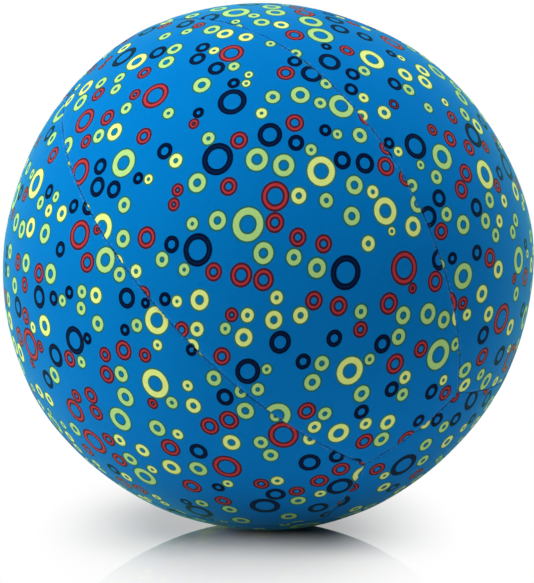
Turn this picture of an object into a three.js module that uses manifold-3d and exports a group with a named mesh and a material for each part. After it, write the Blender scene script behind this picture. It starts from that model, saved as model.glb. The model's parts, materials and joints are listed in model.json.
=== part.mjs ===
// Balloon ball: a cotton cover sewn from six gores and two six-sided end caps, blown up round by a
// latex balloon inside it. Millimetres, +Z up, standing on the floor at the origin as it was
// photographed from the front (-Y side). The closed front cap looks down and to the right. The rear
// cap, on the far upper side, has the mouth that the balloon goes in by, under a half-moon flap.
import * as THREE from 'three';
import { mergeVertices } from 'three/addons/utils/BufferGeometryUtils.js';
import Module from 'manifold-3d';

// Cloth and rubber
const BALL_RADIUS = 150; // to the outside of the cloth
const CLOTH = 0.5; // one layer of the cotton
const LATEX = 0.3; // the balloon's wall
const CLEARANCE = 0.3; // between one piece and the next
const GORES = 6;
const CAP_CORNER = 66; // from the middle of an end cap to a corner, along the cloth
const SEAM_ALLOWANCE = 6; // cloth turned in along a seam, a second layer thick
const HEM = 5; // cloth turned under along a free edge

// The mouth in the rear cap and the flap that closes it
const HINGE_OFFSET = 12; // from the middle of the cap up to the fold line of the flap
const FLAP_WIDTH = 68;
const FLAP_LENGTH = 38; // from the fold line to the tip
const MOUTH_WIDTH = 52;
const MOUTH_LENGTH = 25;
const LAP_JOIN = 5; // band in which the under half steps down below the flap

// The tied neck of the balloon, tucked under the flap
const NECK_RADIUS = 1.9;
const NECK_BORE = 0.8;
const NECK_HEIGHT = 4; // least height of the neck over the pocket's floor
const NECK_ROOT = 4.5; // radius of the thick rubber at the foot of the neck
const KNOT_STRAND = 1; // radius of the strand that is tied
const KNOT_SCALE = 1.7; // the knot's loops reach three times this from its middle
const KNOT_LEAD = 3.8; // from the neck's tip up to the middle of the knot
const TREFOIL_OPENING = 36; // degrees to each side left out over the neck
const TREFOIL_STEP = 16; // degrees from one point of the knot's path to the next
const TAIL_LENGTH = 17; // from the knot to the rolled lip
const LIP_RADIUS = 3.6; // to the middle of the rolled lip
const LIP_BEAD = 0.8; // radius of the roll
const TUCK_ROOM = 0.6; // free height over the knot and round the tail
const POCKET_SLOPE = 16; // width of the pocket's sloping side

// The rest pose: the polar axis leans from upright, then turns about the upright axis
const LEAN = 42.7;
const TURN = -116.5;
const FOOT_DEPTH = 0.7; // how far the ball's own weight flattens it on the floor

// Fineness of the curved faces
const AROUND = 42;
const RINGS = 18;
const ROUND_STEPS = 16;
const KNOT_STEPS = 48;
const FOOT_STEPS = 3;
const FOOT_SLOPE = 18; // width of the finer band of faces round the foot

// Where the blown-up panels stand out from or fall short of a true ball, by up to 3 mm. The
// direction is an angle in the upright plane that faces the viewer, anticlockwise from +X.
const SWELLS = [
  { towards: 6, rise: 2.7, spread: 15 },
  { towards: 68, rise: -1.4, spread: 18 },
  { towards: 119, rise: 1.6, spread: 12 },
  { towards: 160, rise: -1.5, spread: 14 },
  { towards: 211, rise: 1.5, spread: 14 },
  { towards: 311, rise: -2.1, spread: 16 },
];

const COTTON = { color: 0x0f72c8, roughness: 0.9, metalness: 0 };
const RUBBER = { color: 0x9cc7e8, roughness: 0.45, metalness: 0 };

const wasm = await Module();
wasm.setup();

const radians = THREE.MathUtils.degToRad;
const REACH = 4 * BALL_RADIUS; // longer than anything it cuts
const HALF_GAP = CLEARANCE / 2;

// Nested frames: the ball turns about the upright axis, and inside that frame it leans
const ball = new THREE.Group();
const turned = new THREE.Group();
const leaning = new THREE.Group();
ball.name = 'balloon_ball';
turned.rotation.z = radians(TURN);
leaning.rotation.x = radians(LEAN);
ball.add(turned);
turned.add(leaning);
ball.updateMatrixWorld(true);
const toFloorFrame = leaning.matrixWorld.clone();
const toBallFrame = toFloorFrame.clone().invert();

function solid(geometry) {
  geometry.deleteAttribute('normal');
  geometry.deleteAttribute('uv');
  const merged = mergeVertices(geometry, 1e-3);
  const vertProperties = new Float32Array(merged.attributes.position.array);
  const triVerts = new Uint32Array(merged.index.array);
  return new wasm.Manifold(new wasm.Mesh({ numProp: 3, vertProperties, triVerts }));
}

function geometryOf(manifold) {
  const mesh = manifold.getMesh();
  const geometry = new THREE.BufferGeometry();
  geometry.setAttribute('position', new THREE.BufferAttribute(mesh.vertProperties, 3));
  geometry.setIndex(new THREE.BufferAttribute(mesh.triVerts, 1));
  geometry.computeVertexNormals();
  return geometry;
}

// Shape of the blown-up ball

// The flat faces dip below the round form by up to this much
const facetDip = BALL_RADIUS * (1 - Math.cos(Math.PI / (2 * RINGS)));

// Outer radius in a direction of the ball's own frame
function outerRadius(direction) {
  const seen = direction.clone().transformDirection(toFloorFrame);
  return SWELLS.reduce((radius, swell) => {
    const angle = radians(swell.towards);
    const crest = new THREE.Vector3(Math.cos(angle), 0, Math.sin(angle));
    const away = seen.angleTo(crest) / radians(swell.spread);
    return radius + swell.rise * Math.exp(-away * away);
  }, BALL_RADIUS);
}

// Everything below the floor, raised by inset
function belowFloor(inset) {
  const top = -(BALL_RADIUS - FOOT_DEPTH - inset);
  const box = new THREE.BoxGeometry(REACH, REACH, REACH);
  box.translate(0, 0, top - REACH / 2);
  return solid(box.applyMatrix4(toBallFrame));
}

// The flattened foot with a finer band round it, which sinks into the coarser faces of the ball. It
// hangs under the middle of the ball, about the upright axis of the floor's frame.
function foot(inset) {
  const radius = BALL_RADIUS - inset;
  const bottom = FOOT_DEPTH - radius;
  const rim = Math.sqrt(radius ** 2 - bottom ** 2);
  const profile = [new THREE.Vector2(0, bottom), new THREE.Vector2(rim, bottom)];
  for (let step = 1; step <= FOOT_STEPS; step += 1) {
    const share = step / FOOT_STEPS;
    const away = rim + share * FOOT_SLOPE;
    const sunk = radius - 2 * facetDip * share ** 2;
    profile.push(new THREE.Vector2(away, -Math.sqrt(sunk ** 2 - away ** 2)));
  }
  profile.push(new THREE.Vector2(0, bottom / 2));
  const geometry = new THREE.LatheGeometry(profile, ROUND_STEPS);
  geometry.rotateX(Math.PI / 2);
  return solid(geometry.applyMatrix4(toBallFrame));
}

// The whole ball, taken in by inset all over, so that layers of it lie parallel. The poles lie on
// the Z axis, and each seam runs down the middle of a column of faces.
function wholeBall(inset) {
  const geometry = new THREE.SphereGeometry(1, AROUND, RINGS);
  geometry.rotateX(Math.PI / 2);
  geometry.rotateZ(Math.PI / AROUND);
  const points = geometry.attributes.position;
  const point = new THREE.Vector3();
  for (let i = 0; i < points.count; i += 1) {
    point.fromBufferAttribute(points, i).normalize();
    point.multiplyScalar(outerRadius(point) - inset);
    points.setXYZ(i, point.x, point.y, point.z);
  }
  return solid(geometry).add(foot(inset)).subtract(belowFloor(inset));
}

const outside = wholeBall(0);
const underOneLayer = wholeBall(CLOTH);
const underTwoLayers = wholeBall(2 * CLOTH);

// Height of the outside above the middle of the ball, over the point (0, y)
function heightAt(y) {
  const direction = new THREE.Vector3(0, y, BALL_RADIUS).normalize();
  return Math.sqrt(outerRadius(direction) ** 2 - y * y);
}

// Cutting shapes of the panels

function prism(shape) {
  return new THREE.ExtrudeGeometry(shape, {
    depth: REACH,
    bevelEnabled: false,
    curveSegments: ROUND_STEPS,
  });
}

// A gore's share of the ball, taken in by inset from the seam planes on both sides
function goreWedge(number, inset) {
  const half = Math.PI / GORES;
  const apex = inset / Math.sin(half);
  const shape = new THREE.Shape();
  shape.moveTo(apex, 0);
  shape.lineTo(apex + REACH * Math.cos(half), -REACH * Math.sin(half));
  shape.lineTo(apex + REACH * Math.cos(half), REACH * Math.sin(half));
  shape.closePath();
  const geometry = prism(shape);
  geometry.translate(0, 0, -REACH / 2);
  geometry.rotateZ(half * (2 * number - 1));
  return solid(geometry);
}

// An end cap's share: a cone with one flat side for each gore, from the middle of the ball
const cornerAngle = CAP_CORNER / BALL_RADIUS;
const sideAngle = Math.atan(Math.tan(cornerAngle) * Math.cos(Math.PI / GORES));

function capCone(side, inset) {
  const geometry = new THREE.ConeGeometry(REACH * Math.tan(cornerAngle), REACH, GORES);
  geometry.translate(0, -REACH / 2, 0);
  geometry.rotateX(-Math.PI / 2);
  geometry.rotateZ(-Math.PI / 2);
  geometry.translate(0, 0, inset / Math.sin(sideAngle));
  if (side < 0) {
    geometry.rotateX(Math.PI);
  }
  return solid(geometry);
}

// The rear cap's cloth above or below the fold line of the flap
function beyondFold(side, inset) {
  const geometry = new THREE.BoxGeometry(REACH, REACH, REACH);
  geometry.translate(0, HINGE_OFFSET + side * (inset + REACH / 2), 0);
  return solid(geometry);
}

// A half-moon column that hangs from the fold line, such as the flap's or the mouth's
function halfMoon(width, length) {
  const shape = new THREE.Shape();
  shape.absellipse(0, 0, width / 2, length, Math.PI, 2 * Math.PI);
  shape.lineTo(width / 2, CLEARANCE);
  shape.lineTo(-width / 2, CLEARANCE);
  shape.closePath();
  return solid(prism(shape).translate(0, HINGE_OFFSET, 0));
}

function flapMoon(grow) {
  return halfMoon(FLAP_WIDTH + 2 * grow, FLAP_LENGTH + grow);
}

// One layer of cloth over a region, and two where its edges are turned in
function panel(region, singleLayer) {
  const inside = underTwoLayers.add(underOneLayer.intersect(singleLayer));
  return outside.intersect(region).subtract(inside);
}

// Gores and front cap

const seamEdge = HALF_GAP + SEAM_ALLOWANCE;

function gore(number) {
  const region = goreWedge(number, HALF_GAP)
    .subtract(capCone(1, -HALF_GAP))
    .subtract(capCone(-1, -HALF_GAP));
  const singleLayer = goreWedge(number, seamEdge)
    .subtract(capCone(1, -seamEdge))
    .subtract(capCone(-1, -seamEdge));
  return panel(region, singleLayer);
}

function frontCap() {
  return panel(capCone(-1, HALF_GAP), capCone(-1, seamEdge));
}

// Rear cap: the over half carries the flap, and the under half runs on below it to the mouth

const lapTop = 2 * CLOTH + CLEARANCE; // below the hemmed flap
const lapFloor = lapTop + CLOTH;

function overHalf() {
  const region = capCone(1, HALF_GAP).intersect(beyondFold(1, HALF_GAP));
  const singleLayer = capCone(1, seamEdge).intersect(beyondFold(1, HALF_GAP + HEM));
  return panel(region, singleLayer);
}

function underHalf() {
  const region = capCone(1, HALF_GAP).intersect(beyondFold(-1, HALF_GAP));
  const singleLayer = capCone(1, seamEdge).intersect(beyondFold(-1, seamEdge));
  const below = underTwoLayers.add(underOneLayer.intersect(singleLayer));
  return outside
    .intersect(region)
    .subtract(wholeBall(lapFloor))
    .subtract(below.subtract(flapMoon(CLEARANCE + LAP_JOIN)))
    .subtract(flapMoon(CLEARANCE).subtract(wholeBall(lapTop)))
    .subtract(halfMoon(MOUTH_WIDTH, MOUTH_LENGTH));
}

function flap() {
  const region = flapMoon(0).intersect(beyondFold(-1, HALF_GAP));
  return panel(region, flapMoon(-HEM));
}

// The fold line touches the outside of the cloth at its middle
const fold = new THREE.Vector3(0, HINGE_OFFSET, heightAt(HINGE_OFFSET));

// Balloon

const balloonInset = lapTop; // clear of the turned-in seams

// Underside of the cloth that the knot and the loose end are tucked under
function ceilingAt(y) {
  return heightAt(y) - lapFloor - facetDip;
}

const knotMiddle = ceilingAt(0) - TUCK_ROOM - KNOT_SCALE - KNOT_STRAND;
const knotStart = knotMiddle - KNOT_LEAD;
const neckTip = knotStart - CLEARANCE;
const knotEnd = 2 * (KNOT_SCALE + KNOT_STRAND); // beside the neck, where the loose end starts
const tailPivot = new THREE.Vector3(0, -knotEnd, knotMiddle);
const lipSize = LIP_RADIUS + LIP_BEAD;
const lipReach = Math.hypot(TAIL_LENGTH, lipSize) - tailPivot.y;
const lipFloor = ceilingAt(lipReach) - 2 * (lipSize + TUCK_ROOM);
const pocketFloor = Math.min(neckTip - NECK_HEIGHT, lipFloor);
const flapCorner = Math.hypot(FLAP_WIDTH / 2 + CLEARANCE + LAP_JOIN, HINGE_OFFSET);
const flapTip = FLAP_LENGTH - HINGE_OFFSET + CLEARANCE + LAP_JOIN;
const lapReach = Math.max(flapCorner, flapTip);
const pocketRadius = Math.max(lipReach + TUCK_ROOM, lapReach - POCKET_SLOPE / 2);

// The hollow that the tucked neck presses into the balloon, deeper and wider by grow
function pocket(grow) {
  const floor = pocketFloor - grow;
  const rim = heightAt(pocketRadius + POCKET_SLOPE) - balloonInset;
  const top = heightAt(0) + BALL_RADIUS / 10;
  const slope = POCKET_SLOPE / (rim - pocketFloor);
  const profile = [
    new THREE.Vector2(0, floor),
    new THREE.Vector2(pocketRadius + grow, floor),
    new THREE.Vector2(pocketRadius + grow + slope * (top - floor), top),
    new THREE.Vector2(0, top),
  ];
  return solid(new THREE.LatheGeometry(profile, AROUND).rotateX(Math.PI / 2));
}

// The neck stands in the pocket, and its bore runs through the wall into the balloon
function neck() {
  const root = pocketFloor - LATEX / 2;
  const profile = new THREE.Path();
  profile.moveTo(0, root);
  profile.lineTo(NECK_ROOT, root);
  profile.quadraticCurveTo(NECK_RADIUS, pocketFloor, NECK_RADIUS, (pocketFloor + neckTip) / 2);
  profile.lineTo(NECK_RADIUS, neckTip);
  profile.lineTo(0, neckTip);
  const points = profile.getPoints(ROUND_STEPS / 4);
  return solid(new THREE.LatheGeometry(points, ROUND_STEPS).rotateX(Math.PI / 2));
}

function neckBore() {
  const length = 2 * (neckTip - pocketFloor);
  const bore = new THREE.CylinderGeometry(NECK_BORE, NECK_BORE, length, ROUND_STEPS / 2);
  bore.rotateX(Math.PI / 2);
  bore.translate(0, 0, (pocketFloor + neckTip) / 2);
  return solid(bore);
}

function balloonBody() {
  const rubber = wholeBall(balloonInset).subtract(pocket(0));
  const air = wholeBall(balloonInset + LATEX).subtract(pocket(LATEX));
  return rubber.subtract(air).add(neck()).subtract(neckBore());
}

const tailDrop = Math.asin(
  Math.min(1, (knotMiddle - pocketFloor - lipSize - TUCK_ROOM) / TAIL_LENGTH),
);
const tailwards = new THREE.Vector3(0, -Math.cos(tailDrop), -Math.sin(tailDrop));

// A trefoil, moved so that it crosses the neck's axis at 0 degrees
function trefoilPoint(degrees) {
  const turn = radians(degrees);
  const point = new THREE.Vector3(
    Math.sin(turn) - 2 * Math.sin(2 * turn),
    3 - Math.cos(turn) - 2 * Math.cos(2 * turn),
    -Math.sin(3 * turn),
  );
  return point.multiplyScalar(KNOT_SCALE).add(new THREE.Vector3(0, 0, knotMiddle));
}

// An overhand knot: the trefoil opened over the neck, with a lead to the neck's tip and another
// to the loose end
function knot() {
  const loops = [];
  for (let degrees = TREFOIL_OPENING; degrees <= 360 - TREFOIL_OPENING; degrees += TREFOIL_STEP) {
    loops.push(trefoilPoint(degrees));
  }
  const end = tailPivot.clone().addScaledVector(tailwards, -(KNOT_STRAND + CLEARANCE));
  const path = new THREE.CatmullRomCurve3([
    new THREE.Vector3(0, 0, knotStart),
    new THREE.Vector3(0, 0, knotStart + KNOT_STRAND / 2),
    ...loops,
    end.clone().addScaledVector(tailwards, -KNOT_STRAND),
    end,
  ]);
  const strand = new THREE.Shape().absarc(0, 0, KNOT_STRAND, 0, 2 * Math.PI);
  return solid(
    new THREE.ExtrudeGeometry(strand, {
      steps: KNOT_STEPS,
      curveSegments: ROUND_STEPS / 4,
      bevelEnabled: false,
      extrudePath: path,
    }),
  );
}

// The balloon's mouth beyond the knot: a limp tube that widens to its rolled lip. Its root is a
// round end about the pivot, so it swings beside the knot without touching it.
function tail() {
  const beadMiddle = TAIL_LENGTH - LIP_BEAD;
  const profile = new THREE.Path();
  profile.moveTo(0, -KNOT_STRAND);
  profile.absarc(0, 0, KNOT_STRAND, -Math.PI / 2, 0);
  profile.quadraticCurveTo(KNOT_STRAND, beadMiddle / 2, LIP_RADIUS, beadMiddle - LIP_BEAD);
  profile.absarc(LIP_RADIUS, beadMiddle, LIP_BEAD, -Math.PI / 2, Math.PI);
  profile.quadraticCurveTo(KNOT_STRAND - LATEX, beadMiddle / 2, 0, beadMiddle / 2);
  const points = profile.getPoints(ROUND_STEPS / 4);
  const geometry = new THREE.LatheGeometry(points, ROUND_STEPS);
  const turnTo = new THREE.Quaternion().setFromUnitVectors(new THREE.Vector3(0, 1, 0), tailwards);
  return geometry.applyQuaternion(turnTo);
}

// Assembly: a piece that moves is held by a group whose origin lies on its hinge

function place(name, geometry, look, parent) {
  const mesh = new THREE.Mesh(geometry, new THREE.MeshStandardMaterial(look));
  mesh.name = name;
  parent.add(mesh);
}

function hinge(name, position) {
  const group = new THREE.Group();
  group.name = name;
  group.position.copy(position);
  leaning.add(group);
  return group;
}

for (let number = 1; number <= GORES; number += 1) {
  place(`gore_panel_${number}`, geometryOf(gore(number)), COTTON, leaning);
}
place('front_end_cap', geometryOf(frontCap()), COTTON, leaning);
place('rear_cap_over_half', geometryOf(overHalf()), COTTON, leaning);
place('rear_cap_under_half', geometryOf(underHalf()), COTTON, leaning);

const flapHinge = hinge('flap_hinge', fold);
const flapGeometry = geometryOf(flap()).translate(-fold.x, -fold.y, -fold.z);
place('closing_flap', flapGeometry, COTTON, flapHinge);

place('balloon_body', geometryOf(balloonBody()), RUBBER, leaning);
place('balloon_knot', geometryOf(knot()), RUBBER, leaning);
place('balloon_tail', tail(), RUBBER, hinge('tail_hinge', tailPivot));

// The origin is at the middle of the foot of the ball's box
const box = new THREE.Box3().setFromObject(ball, true);
const middle = box.getCenter(new THREE.Vector3());
ball.position.set(-middle.x, -middle.y, -box.min.z);

export default ball;
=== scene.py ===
"""Balloon ball: a printed cotton cover of gores and end caps, blown up by a latex balloon.

The cloth, the print, the thread and the rubber are made here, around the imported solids.
Lengths are in metres. The ball's own frame has its poles on Z, the mouth at the upper one.
"""

import json
import math

import bmesh
import bpy
import numpy as np
from mathutils import Matrix, Vector


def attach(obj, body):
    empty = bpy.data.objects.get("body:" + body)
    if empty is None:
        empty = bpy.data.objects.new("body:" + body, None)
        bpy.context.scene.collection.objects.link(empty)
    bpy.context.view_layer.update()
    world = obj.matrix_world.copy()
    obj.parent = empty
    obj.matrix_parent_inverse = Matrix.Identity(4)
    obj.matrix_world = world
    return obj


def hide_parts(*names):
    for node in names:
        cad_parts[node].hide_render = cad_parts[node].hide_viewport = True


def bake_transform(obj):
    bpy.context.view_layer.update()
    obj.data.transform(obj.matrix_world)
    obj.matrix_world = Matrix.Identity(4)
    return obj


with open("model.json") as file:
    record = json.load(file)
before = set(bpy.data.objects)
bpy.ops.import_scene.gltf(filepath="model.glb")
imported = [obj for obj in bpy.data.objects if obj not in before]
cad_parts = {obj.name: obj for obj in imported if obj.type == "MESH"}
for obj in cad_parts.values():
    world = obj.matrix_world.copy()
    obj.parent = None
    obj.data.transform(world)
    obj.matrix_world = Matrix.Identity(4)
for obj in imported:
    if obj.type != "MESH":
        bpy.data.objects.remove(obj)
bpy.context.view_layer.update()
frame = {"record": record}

bl_info = {
    "name": "Balloon Ball",
    "version": (1, 0, 0),
    "blender": (4, 5, 0),
    "location": "View3D > Sidebar > Balloon Ball",
    "description": "Dresses the balloon ball in printed cotton, thread and latex",
    "category": "Object",
}

# Sizes of the solids, repeated from the part's source
BALL_RADIUS = 0.150
CLOTH = 0.0005
CLEARANCE = 0.0003
GORES = 6
CAP_CORNER = 0.066
HEM = 0.005
HINGE_OFFSET = 0.012
FLAP_WIDTH = 0.068
FLAP_LENGTH = 0.038
MOUTH_WIDTH = 0.052
MOUTH_LENGTH = 0.025
LAP_JOIN = 0.005
NECK_RADIUS = 0.0019
NECK_HEIGHT = 0.004
NECK_ROOT = 0.0045
KNOT_STRAND = 0.001
KNOT_SCALE = 0.0017
KNOT_LEAD = 0.0038
TREFOIL_OPENING = 36
TREFOIL_STEP = 16
TAIL_LENGTH = 0.017
LIP_RADIUS = 0.0036
LIP_BEAD = 0.0008
TUCK_ROOM = 0.0006
POCKET_SLOPE = 0.016
LEAN = math.radians(42.7)
TURN = math.radians(-116.5)
FOOT_DEPTH = 0.0007
FACET = math.radians(5)  # half a face of the solids, which dip below the round form

# Where the blown-up panels stand out or fall short: towards (degrees), rise, spread (degrees)
SWELLS = (
    (6, 0.0027, 15),
    (68, -0.0014, 18),
    (119, 0.0016, 12),
    (160, -0.0015, 14),
    (211, 0.0015, 14),
    (311, -0.0021, 16),
)

# The photograph's frame and the ball's place in it
PHOTO_WIDTH = 534
PHOTO_HEIGHT = 583
BALL_MIDDLE_PX = (266.3, 266.5)
PX_PER_RADIAN = 3157
SENSOR = 36.0

GORE_ANGLE = 2 * math.pi / GORES
HALF_GORE = GORE_ANGLE / 2
CORNER_POLAR = CAP_CORNER / BALL_RADIUS
SIDE_POLAR = math.atan(math.tan(CORNER_POLAR) * math.cos(HALF_GORE))
NEARLY = 0.9998  # leaves a hair's breadth between two panels
TINY = 1e-9  # keeps a division by nothing from failing
SEED = 11

# Distances from a seam at which the cloth gets a row of points, and the steps further in
EDGE_ROWS = (0.0, 0.0003, 0.0007, 0.0012, 0.0019, 0.0028, 0.0042)
ACROSS_STEP = 0.0042
CLOTH_STEP = 0.0026
HALF_STEP = 0.0024
FLAP_STEP = 0.0016
LAP_STEP = 0.0014

# From the ball's frame to the row frame

TURNED = np.array(Matrix.Rotation(TURN, 3, "Z") @ Matrix.Rotation(LEAN, 3, "X"))
FOOT = frame["record"]["mounts"][0]["pos_m"]
MIDDLE = np.array((FOOT[0], FOOT[1], BALL_RADIUS - FOOT_DEPTH))


def to_row(points):
    """Points of the ball's own frame, in the row frame."""
    return np.asarray(points) @ TURNED.T + MIDDLE


# Form of the blown-up ball


def outer_radius(directions):
    """Radius of the outside of the solids in these directions of the ball's frame."""
    seen = directions @ TURNED.T
    radius = np.full(directions.shape[:-1], BALL_RADIUS)
    for towards, rise, spread in SWELLS:
        crest = np.array((math.cos(math.radians(towards)), 0, math.sin(math.radians(towards))))
        away = np.arccos(np.clip(seen @ crest, -1, 1)) / math.radians(spread)
        radius += rise * np.exp(-away * away)
    return radius


def unit(azimuth, polar):
    """Directions from angles about the polar axis and from the upper pole."""
    azimuth, polar = np.broadcast_arrays(azimuth, polar)
    across = np.sin(polar)
    return np.stack((across * np.cos(azimuth), across * np.sin(azimuth), np.cos(polar)), axis=-1)


def around(directions, sector=0.0):
    """Azimuth of directions from a sector's middle, and how far they are from the polar axis."""
    x, y = directions[..., 0], directions[..., 1]
    return np.arctan2(y, x) - sector, np.hypot(x, y)


def circle(count):
    """Evenly spaced angles all the way round."""
    return np.arange(count) * 2 * math.pi / count


def smooth(share):
    """A share from 0 to 1, with a level start and end."""
    return share * share * (3 - 2 * share)


def over_cap(x, y):
    """Directions to the points (x, y) of the flat view down on the upper pole."""
    x, y = np.broadcast_arrays(x, y)
    height = np.sqrt(BALL_RADIUS**2 - x * x - y * y)
    return np.stack((x, y, height), axis=-1) / BALL_RADIUS


def ripple(directions, longest, seed):
    """Uneven waves over the ball, mostly within -1 to 1, the same on each run."""
    draw = np.random.default_rng(seed)
    waves = 7
    total = np.zeros(directions.shape[:-1])
    for _ in range(waves):
        way = draw.normal(size=3)
        way *= 2 * math.pi * BALL_RADIUS / (np.linalg.norm(way) * longest * draw.uniform(0.5, 1))
        total += np.sin(directions @ way + draw.uniform(0, 2 * math.pi))
    return total / math.sqrt(waves)


def from_side(directions, sector):
    """Distance into the nearer cap from its side in a gore's sector, and the place along it."""
    azimuth, ring = around(directions, sector)
    outward = ring * np.cos(azimuth)
    pole = np.abs(directions[..., 2])
    into = np.arcsin(math.sin(SIDE_POLAR) * pole - math.cos(SIDE_POLAR) * outward)
    level = math.cos(SIDE_POLAR) * pole + math.sin(SIDE_POLAR) * outward
    along = np.arctan2(ring * np.sin(azimuth), level)
    return into * BALL_RADIUS, along * BALL_RADIUS


def from_seam(directions, sector):
    """Distance from the nearer long seam of a gore, and the place along it."""
    azimuth, ring = around(directions, sector)
    azimuth = np.mod(azimuth + math.pi, 2 * math.pi) - math.pi
    away = np.arcsin(np.clip(ring * np.sin(HALF_GORE - np.abs(azimuth)), -1, 1))
    return away * BALL_RADIUS, np.arctan2(ring, directions[..., 2]) * BALL_RADIUS


def sector_of(directions):
    """Azimuth of the middle of the gore, or of the cap's side, that these directions are in."""
    azimuth, _ = around(directions)
    return (np.floor(azimuth / GORE_ANGLE) + 0.5) * GORE_ANGLE


def seam_coordinates(corners, on_cap):
    """For each corner of each face: the place along the seam nearest to the face, and from it."""
    sector = sector_of(corners.mean(axis=1))[:, None]
    into, along_side = from_side(corners, sector)
    if on_cap:
        return np.stack((along_side, into), axis=-1)
    away, along_seam = from_seam(corners, sector)
    side_nearer = (-into).mean(axis=1) < away.mean(axis=1)
    along = np.where(side_nearer[:, None], along_side, along_seam)
    across = np.where(side_nearer[:, None], -into, away)
    return np.stack((along, across), axis=-1)


def cloth_outside(directions, to_seam, sunk=0.0):
    """Places of the cloth's face: the blown-up form, drawn in and puckered along its seams."""
    cover = bpy.context.scene.ball_cover
    valley = cover.seam_depth * np.exp(-((to_seam / cover.seam_width) ** 2))
    drawn_in = cover.drawn_in * np.exp(-to_seam / cover.pucker_reach)
    pucker = cover.pucker * np.exp(-to_seam / cover.pucker_reach)
    waves = ripple(directions, cover.pucker_length, SEED)
    slack = cover.unevenness * ripple(directions, BALL_RADIUS / 2, SEED + 1)
    rise = slack + pucker * (waves - 1) - valley - drawn_in - sunk
    points = to_row(directions * (outer_radius(directions) + rise)[..., None])
    points[..., 2] = np.maximum(points[..., 2], 0)
    return points


# Meshes

SAME_PLACE = 1e-7  # points that are closer than this are made one
NO_LENGTH = 1e-8
STITCH_FORM = (0.45, 0.85, 1, 1, 1, 0.85, 0.45)  # thickness of its bar, as shares of the thread's
STITCH_SIDES = 6


def grid_faces(rows, columns, closed=False):
    """Faces of a grid of points, closed round its columns or not."""
    index = np.arange(rows * columns).reshape(rows, columns)
    beside = np.roll(index, -1, axis=1)
    last = columns if closed else columns - 1
    corners = (index[:-1, :last], beside[:-1, :last], beside[1:, :last], index[1:, :last])
    return np.stack(corners, axis=-1).reshape(-1, 4)


def put_uv(mesh, name, values):
    """A UV map from one pair of values for each corner of each face."""
    layer = mesh.uv_layers.new(name=name)
    layer.data.foreach_set("uv", np.asarray(values, np.float32).ravel())


def in_scene(name, data):
    """An object with this data, linked into the scene."""
    made = bpy.data.objects.new(name, data)
    bpy.context.scene.collection.objects.link(made)
    return made


def new_piece(name, points, faces, materials, uv=None, heart=None):
    """A smooth-shaded object with its faces turned away from heart, and no doubled points."""
    mesh = bpy.data.meshes.new(name)
    mesh.from_pydata(np.asarray(points).reshape(-1, 3).tolist(), [], [list(f) for f in faces])
    for layer, values in (uv or {}).items():
        put_uv(mesh, layer, values)
    for finish in materials:
        mesh.materials.append(finish)
    work = bmesh.new()
    work.from_mesh(mesh)
    bmesh.ops.remove_doubles(work, verts=work.verts, dist=SAME_PLACE)
    bmesh.ops.dissolve_degenerate(work, edges=work.edges, dist=NO_LENGTH)
    if heart is None:
        bmesh.ops.recalc_face_normals(work, faces=work.faces)
    else:
        work.normal_update()
        outward = sum(
            face.normal.dot(face.calc_center_median() - Vector(heart)) * face.calc_area()
            for face in work.faces
        )
        if outward < 0:
            bmesh.ops.reverse_faces(work, faces=work.faces)
    for face in work.faces:
        face.smooth = True
    work.to_mesh(mesh)
    work.free()
    return in_scene(name, mesh)


def give_thickness(piece, from_hem):
    """Turns a face of cloth into cloth, two layers thick where from_hem is within a hem's width."""
    group = piece.vertex_groups.new(name="layers")
    for vertex in piece.data.vertices:
        folded = from_hem is not None and from_hem(flat_view(vertex.co)) < HEM
        group.add([vertex.index], 1.0 if folded else 0.5, "REPLACE")
    solid = piece.modifiers.new("cloth", "SOLIDIFY")
    solid.thickness = 2 * CLOTH
    solid.offset = -1
    solid.vertex_group = group.name
    solid.material_offset = 1


def edge_fine(length, middle_step):
    """Shares from 0 to 1 along a length, close together near both ends."""
    near = np.array(EDGE_ROWS) / length
    count = max(2, round((1 - 2 * near[-1]) * length / middle_step))
    middle = np.linspace(near[-1], 1 - near[-1], count + 1)[1:-1]
    return np.concatenate((near, middle, 1 - near[::-1]))


def end_fine(length, middle_step):
    """Shares from 0 to 1 along a length, close together near the end at 1."""
    near = np.array(EDGE_ROWS) / length
    count = max(2, round((1 - near[-1]) * length / middle_step))
    return np.concatenate((np.linspace(0, 1 - near[-1], count + 1)[:-1], 1 - near[::-1]))


def tube(path, radii, sides, up):
    """Points and faces of a round bar along a path, with closed ends."""
    path = np.asarray(path, float)
    ahead = np.gradient(path, axis=0)
    ahead /= np.linalg.norm(ahead, axis=1, keepdims=True)
    normal = np.array(up, float)
    angles = circle(sides)
    rings = []
    for place, way, radius in zip(path, ahead, radii):
        normal = normal - way * (normal @ way)
        normal /= np.linalg.norm(normal)
        side = np.cross(way, normal)
        spokes = np.cos(angles)[:, None] * normal + np.sin(angles)[:, None] * side
        rings.append(place + radius * spokes)
    faces = grid_faces(len(path), sides, closed=True).tolist()
    last = (len(path) - 1) * sides
    faces.append(list(range(sides))[::-1])
    faces.append(list(range(last, last + sides)))
    return np.concatenate(rings), faces


def stitches(name, starts, ends, ups, proud):
    """Thread between pairs of points: each stitch is a short bar that dips in at its ends."""
    shares = np.linspace(0, 1, len(STITCH_FORM))
    arch = np.sin(math.pi * shares)
    half_width = bpy.context.scene.ball_cover.thread_width / 2
    radii = half_width * np.array(STITCH_FORM)
    points, faces = [], []
    for start, end, up in zip(starts, ends, ups):
        path = start + shares[:, None] * (end - start)
        path += up * (proud * arch - half_width * (1 - arch))[:, None]
        bar, bar_faces = tube(path, radii, STITCH_SIDES, up)
        offset = len(points) * len(bar)
        points.append(bar)
        faces += [[corner + offset for corner in face] for face in bar_faces]
    thread = material("sewing_thread", sewing_thread)
    return new_piece(name, np.concatenate(points), faces, [thread])


# Materials


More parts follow.
